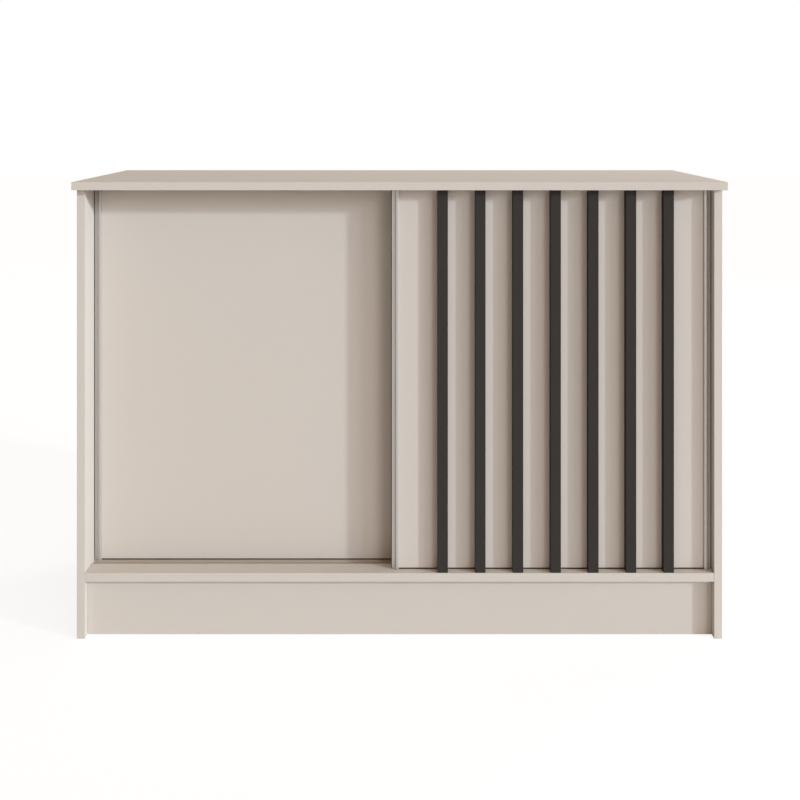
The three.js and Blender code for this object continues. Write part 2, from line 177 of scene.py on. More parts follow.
def laminate(tree, given, place):
    """Colour (1 + clouds + specks), and roughness + pearl, where each noise swings about zero."""
    pearl = noise(tree, place, PEARL_WAVES)
    clouds = centred(tree, noise(tree, place, CLOUD_WAVES, CLOUD_DETAIL), 1.0)
    specks = centred(tree, noise(tree, place, SPECK_WAVES, 0.0), SPECK_TINT)
    tint = maths(tree, "ADD", maths(tree, "MULTIPLY", clouds, given["Clouds"]), specks)
    rough = maths(tree, "ADD", given["Roughness"], centred(tree, pearl, PEARL_DULLING))
    return tint, rough, pearl


laminate_inputs = {"Colour": (0.6, 0.55, 0.5, 1), "Clouds": 0.02, "Roughness": 0.5}
LAMINATE = finish_group("pressed_laminate", laminate_inputs, laminate)
print("group", LAMINATE.name, "sockets", [socket.name for socket in LAMINATE.interface.items_tree])

# %% [markdown]
# A board's narrow sides carry an edge band, a strip of the same colour glued on and trimmed round. All that
# shows of the joint is a hair line where the band meets the face. Each board made below has a UV map that
# gives the distance in from the board's rim, so the line follows every edge however the board lies.

# %% The edge band's joint as a group
BAND_THICKNESS = 1.0 * MM
JOINT_WIDTH = 0.09 * MM


def edge_band_group():
    """Colour (1 + tint on the band - line), where the line fades from 1 on the joint to 0 a width away."""
    tree, given, result = new_group(
        "edge_band",
        {"Colour": (0.6, 0.55, 0.5, 1), "Line": 0.25, "Band Tint": 0.02},
        {"Colour": 4, "Groove": 1},
    )
    inset = add_node(tree, "ShaderNodeUVMap", uv_map="rim").outputs["UV"]
    distance = add_node(tree, "ShaderNodeSeparateXYZ", {0: inset}).outputs["X"]
    away = maths(tree, "ABSOLUTE", maths(tree, "SUBTRACT", distance, BAND_THICKNESS))
    fade = {"Value": away, "From Max": JOINT_WIDTH, "To Min": 1.0, "To Max": 0.0}
    line = add_node(tree, "ShaderNodeMapRange", fade).outputs["Result"]
    band = maths(tree, "LESS_THAN", distance, BAND_THICKNESS)
    darker = maths(tree, "MULTIPLY", line, given["Line"])
    lighter = maths(tree, "MULTIPLY", band, given["Band Tint"])
    tint = maths(tree, "SUBTRACT", lighter, darker)
    give_out(tree, result, Colour=shaded(tree, given["Colour"], tint), Groove=line)
    return tree


EDGE_BAND = edge_band_group()
print("group", EDGE_BAND.name)

# %% [markdown]
# Extruded metal and plastic carry fine lines along the length that left the die. The noise is stretched
# along that length by scaling its coordinates unevenly: hundreds of waves to the metre across, and a few
# along. The same group serves the handle profiles, which stand, and the tracks, which lie.

# %% Die lines as a group
LINE_DULLING = 0.18
HAZE_WAVES = 25.0
HAZE_DULLING = 0.1


def die_lines(tree, given, place):
    """Colour (1 + depth lines), and roughness + lines + haze, where each noise swings about zero."""
    lines = stretched_noise(tree, place, given["Waves"])
    haze = centred(tree, noise(tree, place, HAZE_WAVES), HAZE_DULLING)
    tint = maths(tree, "MULTIPLY", centred(tree, lines, 1.0), given["Depth"])
    rubbed = maths(tree, "ADD", centred(tree, lines, LINE_DULLING), haze)
    return tint, maths(tree, "ADD", given["Roughness"], rubbed), lines


die_inputs = {"Colour": (0.6, 0.6, 0.6, 1), "Waves": (1500.0, 1500.0, 4.0), "Depth": 0.06, "Roughness": 0.3}
DIE_LINES = finish_group("die_lines", die_inputs, die_lines)
print("group", DIE_LINES.name)

# %% [markdown]
# Moulded nylon and rubber take the fine pitted skin of their mould, which also dulls the gloss in spots.
# Pressed fibreboard shows its fibres: short dark and light threads in every direction, which two noises
# stretched across each other give well enough at this scale.

# %% Moulded skin and pressed fibre as groups
PIT_DULLING = 0.2
SKIN_WAVES = 60.0
SKIN_TINT = 0.12
FIBRE_WAVES = ((900.0, 900.0, 140.0), (140.0, 900.0, 900.0))
FIBRE_TINT = 2.0
FIBRE_DULLING = 0.3
FIBRE_ROUGHNESS = 0.72
MOTTLE_WAVES = 9.0
MOTTLE_DETAIL = 4.0
MOTTLE_TINT = 0.6


def moulded(tree, given, place):
    """Colour (1 + clouds), and roughness + pits, where each noise swings about zero."""
    pits = noise(tree, place, given["Pits"])
    clouds = centred(tree, noise(tree, place, SKIN_WAVES), SKIN_TINT)
    rough = maths(tree, "ADD", given["Roughness"], centred(tree, pits, PIT_DULLING))
    return clouds, rough, pits


def fibre(tree, given, place):
    """Colour (1 + contrast (fibres + mottle)), where the fibres are the mean of two stretched noises."""
    threads = [stretched_noise(tree, place, waves) for waves in FIBRE_WAVES]
    fibres = maths(tree, "MULTIPLY", maths(tree, "ADD", *threads), 0.5)
    mottle = centred(tree, noise(tree, place, MOTTLE_WAVES, MOTTLE_DETAIL), MOTTLE_TINT)
    shades = maths(tree, "ADD", centred(tree, fibres, FIBRE_TINT), mottle)
    tint = maths(tree, "MULTIPLY", shades, given["Contrast"])
    rough = maths(tree, "ADD", centred(tree, fibres, FIBRE_DULLING), FIBRE_ROUGHNESS)
    return tint, rough, fibres


moulded_inputs = {"Colour": (0.1, 0.1, 0.1, 1), "Pits": 1800.0, "Roughness": 0.5}
MOULDED = finish_group("moulded_skin", moulded_inputs, moulded)
FIBRE = finish_group("pressed_fibre", {"Colour": (0.4, 0.28, 0.18, 1), "Contrast": 0.35}, fibre)
print("groups", MOULDED.name, FIBRE.name)

# %% [markdown]
# A material is a Principled shader fed by one of the groups, with a little bump. Colours are written as
# they look on a screen, from 0 to 255, and turned into the linear values that light is counted in.

# %% Helpers for materials
SCREEN_LEVELS = 255


def linear(red, green, blue):
    """The linear colour of an 8 bit screen colour: each share of 255, with the screen's curve taken off."""
    share = np.array([red, green, blue]) / SCREEN_LEVELS
    curve = np.where(share <= 0.04045, share / 12.92, ((share + 0.055) / 1.055) ** 2.4)
    return (*curve.tolist(), 1.0)


def principled(name, group, values, depth, **sockets):
    """A material whose colour, roughness and bump come from a group. Depth is the height of the bump."""
    material = bpy.data.materials.new(name)
    material.use_nodes = True
    tree = material.node_tree
    shader = tree.nodes["Principled BSDF"]
    placed = add_node(tree, "ShaderNodeGroup", values, node_tree=group)
    bump = add_node(tree, "ShaderNodeBump", {"Height": placed.outputs["Height"], "Distance": depth})
    tree.links.new(placed.outputs["Colour"], shader.inputs["Base Color"])
    tree.links.new(placed.outputs["Roughness"], shader.inputs["Roughness"])
    tree.links.new(bump.outputs["Normal"], shader.inputs["Normal"])
    for key, value in sockets.items():
        shader.inputs[key.replace("_", " ")].default_value = value
    return material


def with_edge_band(material, line, tint):
    """Puts the edge band between a laminate's colour and its shader, and sinks the joint in the bump."""
    tree = material.node_tree
    shader = tree.nodes["Principled BSDF"]
    colour = shader.inputs["Base Color"].links[0].from_socket
    values = {"Colour": colour, "Line": line, "Band Tint": tint}
    band = add_node(tree, "ShaderNodeGroup", values, node_tree=EDGE_BAND)
    tree.links.new(band.outputs["Colour"], shader.inputs["Base Color"])
    bump = next(node for node in tree.nodes if node.type == "BUMP")
    height = bump.inputs["Height"].links[0].from_socket
    tree.links.new(maths(tree, "SUBTRACT", height, band.outputs["Groove"]), bump.inputs["Height"])
    return material


# %% [markdown]
# The finishes: warm grey laminate, the same board in near black for the slats, satin metal, beige plastic
# for the tracks, darkened as painted shade, nylon, zinc, rubber, which also paints the shade in the door
# gaps, and the raw side of the thin back.

# %% The materials
LAMINATE_GLOSS = 0.02
LAMINATE_DEPTH = 0.02 * MM
UPRIGHT_METAL = (1500.0, 1500.0, 4.0)
UPRIGHT_PLASTIC = (1100.0, 1100.0, 4.0)
LYING_PLASTIC = (4.0, 1100.0, 1100.0)

board_finish = with_edge_band(
    principled(
        "warm_grey_laminate",
        LAMINATE,
        {"Colour": linear(207, 198, 189), "Clouds": 0.018, "Roughness": 0.7},
        LAMINATE_DEPTH,
        Specular_IOR_Level=LAMINATE_GLOSS,
    ),
    line=0.16,
    tint=0.012,
)
slat_finish = with_edge_band(
    principled(
        "black_laminate",
        LAMINATE,
        {"Colour": linear(59, 55, 52), "Clouds": 0.05, "Roughness": 0.52},
        LAMINATE_DEPTH,
        Specular_IOR_Level=LAMINATE_GLOSS,
    ),
    line=0.3,
    tint=0.04,
)
profile_finish = principled(
    "satin_metal",
    DIE_LINES,
    {"Colour": linear(192, 187, 182), "Waves": UPRIGHT_METAL, "Roughness": 0.45},
    0.01 * MM,
    Metallic=0.35,
)
# The tracks' beige, darkened as painted shade for their channels.
track_finish_with_painted_shade = principled(
    "beige_track_with_painted_shade",
    DIE_LINES,
    {"Colour": linear(171, 158, 145), "Waves": LYING_PLASTIC, "Roughness": 0.5},
    0.015 * MM,
)
strip_finish = principled(
    "beige_strip",
    DIE_LINES,
    {"Colour": linear(196, 186, 175), "Waves": UPRIGHT_PLASTIC, "Roughness": 0.45},
    0.015 * MM,
)
nylon_finish = principled(
    "black_nylon",
    MOULDED,
    {"Colour": linear(52, 49, 46), "Pits": 1600.0, "Roughness": 0.5},
    0.03 * MM,
)
wheel_finish = principled(
    "white_nylon",
    MOULDED,
    {"Colour": linear(226, 222, 212), "Pits": 2400.0, "Roughness": 0.4},
    0.01 * MM,
)
# Rubber for the track stops. Its warm dark brown also colours the strips of painted shade in the door gaps,
# warmed to match that shade.
rubber_and_gap_shade_finish = principled(
    "stop_rubber",
    MOULDED,
    {"Colour": linear(54, 40, 26), "Pits": 900.0, "Roughness": 0.75},
    0.04 * MM,
    Specular_IOR_Level=0.1,
)
zinc_finish = principled(
    "zinc_plate",
    MOULDED,
    {"Colour": linear(196, 194, 190), "Pits": 700.0, "Roughness": 0.32},
    0.01 * MM,
    Metallic=1.0,
)
fibre_finish = principled(
    "brown_fibreboard",
    FIBRE,
    {"Colour": linear(158, 126, 96), "Contrast": 0.3},
    0.05 * MM,
)
print("materials", len(bpy.data.materials))

# %% [markdown]
# Every new piece is a grid of points worked out as one array. Rows run along a profile, and columns run
# round it and close on themselves. Rows either close too, as on a ring, or end in a cap. Points that fall
# together are merged, and the faces are turned outwards.

# %% Helper: a mesh object from a grid of points
import bmesh

MERGE_DISTANCE = 0.002 * MM


def surface(name, grid, wrap_rows=False, rim=None):
    """A closed mesh from a (rows, columns, 3) array. Rim, if given, is each row's distance, kept as UV."""
    rows, columns = grid.shape[:2]
    index = np.arange(rows * columns).reshape(rows, columns)
    if wrap_rows:
        index = np.vstack([index, index[:1]])
    following = np.roll(index, -1, axis=1)
    quads = np.stack([index[:-1], following[:-1], following[1:], index[1:]], axis=-1)
    faces = quads.reshape(-1, 4).tolist()
    if not wrap_rows:
        faces += [index[0][::-1].tolist(), index[-1].tolist()]
    mesh = bpy.data.meshes.new(name)
    mesh.from_pydata(grid.reshape(-1, 3).tolist(), [], faces)
    if rim is not None:
        corners = np.zeros(len(mesh.loops), dtype=np.int32)
        mesh.loops.foreach_get("vertex_index", corners)
        distance = np.repeat(rim, columns)[corners]
        layer = mesh.uv_layers.new(name="rim")
        layer.uv.foreach_set("vector", np.stack([distance, np.zeros_like(distance)], axis=1).ravel())
    work = bmesh.new()
    work.from_mesh(mesh)
    bmesh.ops.remove_doubles(work, verts=work.verts, dist=MERGE_DISTANCE)
    bmesh.ops.recalc_face_normals(work, faces=work.faces)
    for face in work.faces:
        face.smooth = True
    work.to_mesh(mesh)
    work.free()
    piece = bpy.data.objects.new(name, mesh)
    bpy.context.scene.collection.objects.link(piece)
    return piece


# %% [markdown]
# Flat faces beside small round edges need care: smooth shading would bend the light over the whole board.
# The Weighted Normal modifier lets the large faces decide, and edges sharper than a set angle stay sharp.
# Cuts and joins are made with the Boolean modifier and written into the mesh at once, and small moulded
# pieces get their soft corners from the Bevel modifier.

# %% Helpers: cut, join, soften and hand over
SHARP_ANGLE = np.radians(38)
BEVEL_SEGMENTS = 2


def baked(piece):
    """Writes a piece's modifiers into its mesh."""
    graph = bpy.context.evaluated_depsgraph_get()
    mesh = bpy.data.meshes.new_from_object(piece.evaluated_get(graph))
    piece.modifiers.clear()
    piece.data = mesh
    return piece


def combined(piece, others, operation):
    """The piece with the others cut out of it, or joined to it. The others are used up."""
    for other in others:
        modifier = piece.modifiers.new("combine", "BOOLEAN")
        modifier.object = other
        modifier.operation = operation
        modifier.solver = "EXACT"
    baked(piece)
    for other in others:
        bpy.data.objects.remove(other)
    return piece


def softened(piece, width):
    """The piece with its sharp edges rounded off, over this width on each side."""
    bevel = piece.modifiers.new("soft corners", "BEVEL")
    bevel.width = width
    bevel.segments = BEVEL_SEGMENTS
    bevel.limit_method = "ANGLE"
    bevel.angle_limit = SHARP_ANGLE
    return piece


def dress(piece, material, body, slot, *nodes):
    """Finishes a piece: weighted normals, its material, the body that it rides on and what it stands for."""
    piece.data.set_sharp_from_angle(angle=SHARP_ANGLE)
    weighted = piece.modifiers.new("flat faces stay flat", "WEIGHTED_NORMAL")
    weighted.keep_sharp = True
    piece.data.materials.clear()
    piece.data.materials.append(material)
    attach(piece, body)
    if nodes:
        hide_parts(*nodes)
    return piece


# %% [markdown]
# A board is its rim's profile carried round a rectangle. The profile runs in over the face, down a quarter
# circle, along the narrow side and back under the same way. Each corner of the rectangle is a quarter turn,
# so the board's corners come out round as well.

# %% Helper: a board with round edges
EDGE_RADIUS = 0.45 * MM
FACE_MARGIN = 3.0 * MM
TURN_STEPS = 4


def board(name, low, high, thin, radius):
    """A slab between two corners, thin along one axis.

    Rows: inset and height of the profile, where a quarter circle is inset = r (1 - sin t) and
    height = half - r (1 - cos t). Columns: the four corners, each swept through a quarter turn, where a
    point lies at the corner's centre plus (r - inset) along the turning direction.
    """
    low, high = np.array(low, dtype=float), np.array(high, dtype=float)
    order = [axis for axis in range(3) if axis != thin] + [thin]
    half = ((high - low) / 2)[order]
    turn = np.linspace(0, np.pi / 2, TURN_STEPS + 1)
    arc = radius * (1 - np.sin(turn))
    level = half[2] - radius * (1 - np.cos(turn))
    inset = np.concatenate([[FACE_MARGIN], arc, arc[::-1], [FACE_MARGIN]])
    height = np.concatenate([[half[2]], level, -level[::-1], [-half[2]]])
    quadrant = np.repeat(np.arange(4), TURN_STEPS + 1) * np.pi / 2
    heading = quadrant + np.tile(turn, 4)
    reach = np.maximum(radius, inset)[:, None]
    bend = np.maximum(radius - inset, 0)[:, None]
    sides = np.sign([np.cos(quadrant + np.pi / 4), np.sin(quadrant + np.pi / 4)])
    across = sides[0] * (half[0] - reach) + bend * np.cos(heading)
    along = sides[1] * (half[1] - reach) + bend * np.sin(heading)
    grid = np.zeros((len(inset), len(heading), 3))
    grid[..., order[0]] = across
    grid[..., order[1]] = along
    grid[..., order[2]] = height[:, None]
    return surface(name, grid + (low + high) / 2, rim=inset)


def node_board(node, thin, radius=EDGE_RADIUS):
    """A board in a node's place, from corner to corner of its box."""
    return board("made_" + node, *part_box(node), thin, radius)


# %% [markdown]
# The door panels and shelves are plain boards. The top and the base have grooves for the tracks, cut a
# hair wider than the tracks themselves.

# %% Carcass boards
SEAM = 0.3 * MM
CUT_OVERRUN = 2.0 * MM
X, Y, Z = 0, 1, 2
DOORS = ("front_door", "rear_door")


def rectangle(low, high):
    """Its four corners in turn, from the lowest one."""
    return np.array([[low[0], low[1]], [high[0], low[1]], [high[0], high[1]], [low[0], high[1]]])


def groove_cutter(node, opened):
    """A block in a track's place, a seam larger all round, and pushed on past the face that it opens."""
    low, high = [np.array(corner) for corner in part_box(node)]
    low, high = low - SEAM, high + SEAM
    if opened < 0:
        low[Z] -= CUT_OVERRUN
    else:
        high[Z] += CUT_OVERRUN
    grid = [[[x, y, level] for x, y in rectangle(low, high)] for level in (low[Z], high[Z])]
    return surface("cutter", np.array(grid))


for node, track_place, opened in (("top_panel", "top_track", -1), ("base_panel", "bottom_track", 1)):
    grooved = node_board(node, Z)
    cutters = [groove_cutter(f"{name}_{track_place}", opened) for name in ("front", "rear")]
    combined(grooved, cutters, "DIFFERENCE")
    dress(grooved, board_finish, "cabinet", "laminated_board", node)

for node, thin in (("front_plinth", Y), ("rear_plinth", Y), ("left_shelf", Z), ("right_shelf", Z)):
    dress(node_board(node, thin), board_finish, "cabinet", "laminated_board", node)
for door in DOORS:
    dress(node_board(f"{door}_panel", Y), board_finish, door, "laminated_board", f"{door}_panel")

# %% [markdown]
# A turned piece is a profile of radii carried round an axis. The same helper drills: a plain rod is a
# profile that starts and ends on the axis, and the Boolean modifier takes it out of the board.

# %% Helper: turned pieces
HOLE_STEPS = 24


def turned(name, profile, axis, centre, steps, ring=False):
    """A round piece: radius and place along the axis for each row, swept through a full circle of columns."""
    profile = np.array(profile, dtype=float)
    angle = np.linspace(0, 2 * np.pi, steps, endpoint=False)
    grid = np.zeros((len(profile), steps, 3))
    grid[..., (axis + 1) % 3] = profile[:, :1] * np.cos(angle)
    grid[..., (axis + 2) % 3] = profile[:, :1] * np.sin(angle)
    grid[..., axis] = profile[:, 1:]
    return surface(name, grid + np.array(centre), wrap_rows=ring)


def rod(radius, start, end, axis, centre):
    """A plain rod to drill with: the radius from start to end, and nothing at either end."""
    profile = [[0, start], [radius, start], [radius, end], [0, end]]
    return turned("cutter", profile, axis, centre, HOLE_STEPS)


# %% [markdown]
# The uprights are boards with blind holes for the shelf pins. Beside each pin the drill has left three in a
# column, so that the shelf can be moved up or down by one.

# %% Uprights with their pin holes
HOLE_RADIUS = 2.8 * MM
HOLE_DEPTH = 6.7 * MM
HOLE_STEP = 64.0 * MM
HOLE_ROWS = (-1, 0, 1)


def pin_holes(pins, face, inward):
    """Rods to cut out of an upright: above, at and below each shelf pin, running inward from the face."""
    rods = []
    for pin in pins:
        low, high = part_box(pin)
        middle = (low + high) / 2
        for row in HOLE_ROWS:
            centre = (face, middle.y, middle.z + row * HOLE_STEP)
            rods.append(rod(HOLE_RADIUS, -inward * CUT_OVERRUN, inward * HOLE_DEPTH, X, centre))
    return rods


def pins_of(place):
    """The two pins that carry one end of a shelf."""
    return [f"{place}_{depth}_pin" for depth in ("front", "rear")]


uprights = {
    "left_side_panel": [("left_shelf_outer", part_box("left_side_panel")[1].x, -1)],
    "right_side_panel": [("right_shelf_outer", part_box("right_side_panel")[0].x, 1)],
    "centre_partition": [
        ("left_shelf_inner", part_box("centre_partition")[0].x, 1),
        ("right_shelf_inner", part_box("centre_partition")[1].x, -1),
    ],
}
for node, faces in uprights.items():
    upright = node_board(node, X)
    holes = [hole for place, face, way in faces for hole in pin_holes(pins_of(place), face, way)]
    combined(upright, holes, "DIFFERENCE")
    dress(upright, board_finish, "cabinet", "laminated_board", node)
print("uprights made with", len(HOLE_ROWS) * 2, "holes a face")

# %% [markdown]
# A shelf pin is turned from steel wire: a peg in its hole, a thicker nose under the shelf, and a small
# round on each end where the cutter broke the edge.

# %% Shelf pins
PEG_RADIUS = 2.5 * MM
NOSE_RADIUS = 3.5 * MM
PIN_ROUND = 0.7 * MM


def shelf_pin(pin, face, way):
    """Radii against the distance out of the hole: peg, step, nose and rounded end."""
    low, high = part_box(pin)
    ends = [low.x, high.x] if way < 0 else [high.x, low.x]
    peg_end, nose_end = [-way * (end - face) for end in ends]
    profile = [
        [0, peg_end],
        [PEG_RADIUS - PIN_ROUND, peg_end],
        [PEG_RADIUS, peg_end + PIN_ROUND],
        [PEG_RADIUS, SEAM],
        [NOSE_RADIUS - PIN_ROUND / 2, SEAM],
        [NOSE_RADIUS, SEAM + PIN_ROUND / 2],
        [NOSE_RADIUS, nose_end - PIN_ROUND],
        [NOSE_RADIUS - PIN_ROUND / 3, nose_end - PIN_ROUND / 3],
        [NOSE_RADIUS - PIN_ROUND, nose_end],
        [0, nose_end],
    ]
    profile = [[radius, -way * place] for radius, place in profile]
    middle = (low + high) / 2
    made = turned("made_" + pin, profile, X, (face, middle.y, middle.z), HOLE_STEPS)
    return dress(made, zinc_finish, "cabinet", "steel", pin)


for faces in uprights.values():
    for place, face, way in faces:
        for pin in pins_of(place):
            shelf_pin(pin, face, way)
print("shelf pins made")

# %% [markdown]
# Rails, strips and handle profiles are extruded: one outline for the whole length. Each corner of the
# outline is bent by a quadratic curve, which starts and ends a set distance from the corner. The outline
# stands at both ends of a grid of two rows, and the ends are closed.

# %% Helper: extrusions with rounded outlines
CORNER_STEPS = 5


def rounded(points, radii):
    """A closed outline with bent corners: (1-t)^2 start + 2 t (1-t) corner + t^2 end at each of them."""
    points = np.array(points, dtype=float)
    reach = np.broadcast_to(np.array(radii, dtype=float), len(points))[:, None]
    back = np.roll(points, 1, axis=0) - points
    ahead = np.roll(points, -1, axis=0) - points
    start = points + reach * back / np.linalg.norm(back, axis=1, keepdims=True)
    end = points + reach * ahead / np.linalg.norm(ahead, axis=1, keepdims=True)
    t = np.linspace(0, 1, CORNER_STEPS + 1)[None, :, None]
    curve = (1 - t) ** 2 * start[:, None] + 2 * t * (1 - t) * points[:, None] + t**2 * end[:, None]
    curve = curve.reshape(-1, 2)
    apart = np.linalg.norm(curve - np.roll(curve, 1, axis=0), axis=1)
    return curve[apart > MERGE_DISTANCE]


def extruded(name, outline, axis, low, high):
    """The outline, in the two other axes, carried straight from low to high."""
    others = [other for other in range(3) if other != axis]
    grid = np.zeros((2, len(outline), 3))
    grid[..., others] = outline
    grid[0, :, axis] = low
    grid[1, :, axis] = high
    return surface(name, grid)


# %% [markdown]
# The tracks are plastic channels let into the boards, flush with them. Their walls end in small rounds, and
# those are what catches the light along the base board. Their colour is the plastic's beige, darkened
# further as painted shade inside the channels.

# %% Tracks, and the strip between the two backs
TRACK_WALL = 1.3 * MM
TRACK_ROUNDS = np.array([0.4, 0.4, 0.4, 0.4, 0.6, 0.6, 0.4, 0.4]) * MM
STRIP_FLANGE = 1.0 * MM
STRIP_WEB = 0.8 * MM
STRIP_ROUND = 0.3 * MM


def track(node, opens):
    """A channel's outline from its node's box: round the outside, over one wall, and along the floor."""
    low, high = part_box(node)
    floor, mouth = (low.z, high.z) if opens > 0 else (high.z, low.z)
    inner = floor + opens * TRACK_WALL
    points = [
        [low.y, floor],
        [high.y, floor],
        [high.y, mouth],
        [high.y - TRACK_WALL, mouth],
        [high.y - TRACK_WALL, inner],
        [low.y + TRACK_WALL, inner],
        [low.y + TRACK_WALL, mouth],
        [low.y, mouth],
    ]
    made = extruded("made_" + node, rounded(points, TRACK_ROUNDS), X, low.x, high.x)
    return dress(made, track_finish_with_painted_shade, "cabinet", "track_plastic", node)


for name in ("front", "rear"):
    track(f"{name}_bottom_track", 1)
    track(f"{name}_top_track", -1)

strip_low, strip_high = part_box("back_joining_strip")
inner_gap, outer_gap = strip_low.y + STRIP_FLANGE, strip_high.y - STRIP_FLANGE
strip_points = [
    [strip_low.x, strip_low.y],
    [strip_high.x, strip_low.y],
    [strip_high.x, inner_gap],
    [STRIP_WEB, inner_gap],
    [STRIP_WEB, outer_gap],
    [strip_high.x, outer_gap],
    [strip_high.x, strip_high.y],
    [strip_low.x, strip_high.y],
    [strip_low.x, outer_gap],
    [-STRIP_WEB, outer_gap],
    [-STRIP_WEB, inner_gap],
    [strip_low.x, inner_gap],
]
strip_outline = rounded(strip_points, STRIP_ROUND)
strip = extruded("made_back_joining_strip", strip_outline, Z, strip_low.z, strip_high.z)
dress(strip, strip_finish, "cabinet", "track_plastic", "back_joining_strip")
print("tracks and strip made")

# %% [markdown]
# The handle is an aluminium profile along each upright edge of a door. From the outer edge inwards its face
# rises in one smooth S to a lip, which stands proud beside the panel and gives the fingers their hold.
# Behind, a hollow chamber stiffens it, and a clasp holds the panel's edge. Two waves make the S: a long one
# from the outer edge to the lip's crest, and a short one in its middle, where the face is steepest.

# %% Handle profiles
HANDS = {"left": -1, "right": 1}
DOOR_ENDS = [(door, end) for door in DOORS for end in HANDS]
PROFILE_WIDTH = 14.0 * MM
PROFILE_WALL = 1.3 * MM
LIP_PROUD = 4.0 * MM
LIP_INNER = 13.0 * MM
WAVE_FOOT = np.array([0.6 * MM, 1.0 * MM])
WAVE_CREST = np.array([12.0 * MM, -LIP_PROUD])
WAVE_STEPS = 40
STEP_SHARE = 0.52
STEP_MIDDLE = 0.53
STEP_HALF = 0.1
CHAMBER_FRONT = 4.5 * MM
CLASP = 12.3 * MM
BACK_INNER = 15.3 * MM
FOOT_BEND = 0.35 * MM
OTHER_BENDS = np.array([0.8, 0.25, 0, 0, 0.2, 0.4, 0.7]) * MM  # from the lip round the back
CHAMBER_BEND = 0.4 * MM


def handle_outline():
    """Outline and chamber, as distances from the outer edge and from the panel's face.

    The face goes from the foot to the crest: the distance evenly with t, and the depth with
    (1 - a) (1 - cos(pi t)) / 2 + a (1 + sin(pi u / 2)) / 2, where a is the step's share and
    u = (t - middle) / half, kept within -1 and 1.
    """
    t = np.linspace(0, 1, WAVE_STEPS + 1)
    u = np.clip((t - STEP_MIDDLE) / STEP_HALF, -1, 1)
    depth = (1 - STEP_SHARE) * (1 - np.cos(np.pi * t)) / 2 + STEP_SHARE * (1 + np.sin(np.pi * u / 2)) / 2
    wave = WAVE_FOOT + (WAVE_CREST - WAVE_FOOT) * np.stack([t, depth], axis=1)
    rest = [
        [LIP_INNER, -LIP_PROUD],
        [LIP_INNER, -SEAM],
        [CLASP, -SEAM],
        [CLASP, BACK_INNER],
        [PROFILE_WIDTH, BACK_INNER],
        [PROFILE_WIDTH, BACK_INNER + PROFILE_WALL],
        [0, BACK_INNER + PROFILE_WALL],
    ]
    points = np.vstack([[[0, WAVE_FOOT[1]]], wave, rest])
    bends = np.concatenate([[FOOT_BEND], np.zeros(len(wave)), OTHER_BENDS])
    chamber = rectangle((PROFILE_WALL, CHAMBER_FRONT), (CLASP - PROFILE_WALL, BACK_INNER))
    return rounded(points, bends), rounded(chamber, CHAMBER_BEND)


def handle_profile(door, end):
    """The outline, mirrored for the edge that it sits on, less its chamber, in its node's place."""
    node = f"{door}_{end}_handle_profile"
    hand = HANDS[end]
    low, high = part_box(node)
    edge = high.x if hand > 0 else low.x
    face = low.y + LIP_PROUD
    solid, chamber = [outline * [-hand, 1] + [edge, face] for outline in handle_outline()]
    made = extruded("made_" + node, solid, Z, low.z, high.z)
    hollow = extruded("cutter", chamber, Z, low.z - CUT_OVERRUN, high.z + CUT_OVERRUN)
    combined(made, [hollow], "DIFFERENCE")
    return dress(made, profile_finish, door, "aluminium", node)


for door, end in DOOR_ENDS:
    handle_profile(door, end)
print("handle profiles made:", len(DOOR_ENDS))

# %% [markdown]
# Strips of dark rubber stand in the narrow gaps round a door as painted shade: they are there to make
# those gaps dark. One hangs under the panel, a little behind its face, and clears the base board. One runs
# down the outer wall of each handle profile.

# %% Dark strips of painted shade in the gaps
# The sizes of the dark strips that paint the shade in the gaps.
SHADE_STRIP_ROUND = 0.3 * MM
FOOT_SHADE_BEHIND = 0.5 * MM
FOOT_SHADE_DEEP = 4.0 * MM
FOOT_SHADE_CLEAR = 0.5 * MM
SIDE_SHADE_BEHIND = 1.0 * MM
SIDE_SHADE_DEEP = 5.0 * MM
SIDE_SHADE_PROUD = 1.1 * MM
SHORTER = 1.0 * MM  # than the panel or profile, at both ends


def shade_strip_outline(start, size):
    """A small rectangle from one corner, with its corners rounded."""
    return rounded(rectangle((0, 0), size) + start, SHADE_STRIP_ROUND)


def gap_shade_strips(door):
    """The dark strips of painted shade round a door: one under its panel, and one on each handle profile."""
    low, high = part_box(f"{door}_panel")
    gap = low.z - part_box("base_panel")[1].z
    outline = shade_strip_outline([low.y + FOOT_SHADE_BEHIND, low.z - gap + FOOT_SHADE_CLEAR], [FOOT_SHADE_DEEP, gap - FOOT_SHADE_CLEAR])
    shade_under_door = extruded(f"made_{door}_shade_under_panel", outline, X, low.x + SHORTER, high.x - SHORTER)
    dress(shade_under_door, rubber_and_gap_shade_finish, door, "stop_rubber")
    for end, hand in HANDS.items():
        low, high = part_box(f"{door}_{end}_handle_profile")
        edge = high.x if hand > 0 else low.x - SIDE_SHADE_PROUD
        outline = shade_strip_outline([edge, low.y + LIP_PROUD + SIDE_SHADE_BEHIND], [SIDE_SHADE_PROUD, SIDE_SHADE_DEEP])
        shade_beside_profile = extruded(f"made_{door}_{end}_buffer", outline, Z, low.z + SHORTER, high.z - SHORTER)
        dress(shade_beside_profile, rubber_and_gap_shade_finish, door, "stop_rubber")


for door in DOORS:
    gap_shade_strips(door)
print("painted shade strips made")

# %% [markdown]
# The slats are strips of the black board, screwed on from behind. They are boards like the others, so the
# same helper makes them.

# %% Slats
SLAT_RADIUS = 0.5 * MM
SLATS = [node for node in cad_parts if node.startswith("front_door_slat_")]

for node in SLATS:
    dress(node_board(node, Y, SLAT_RADIUS), slat_finish, "front_door", "black_board", node)
print("slats:", len(SLATS))

# %% [markdown]
# A screw head is turned, and its cross recess is cut with a rounded cross. One screw is made at the origin,
# and copies of its mesh are set side by side in one piece, with all their places worked out at once.

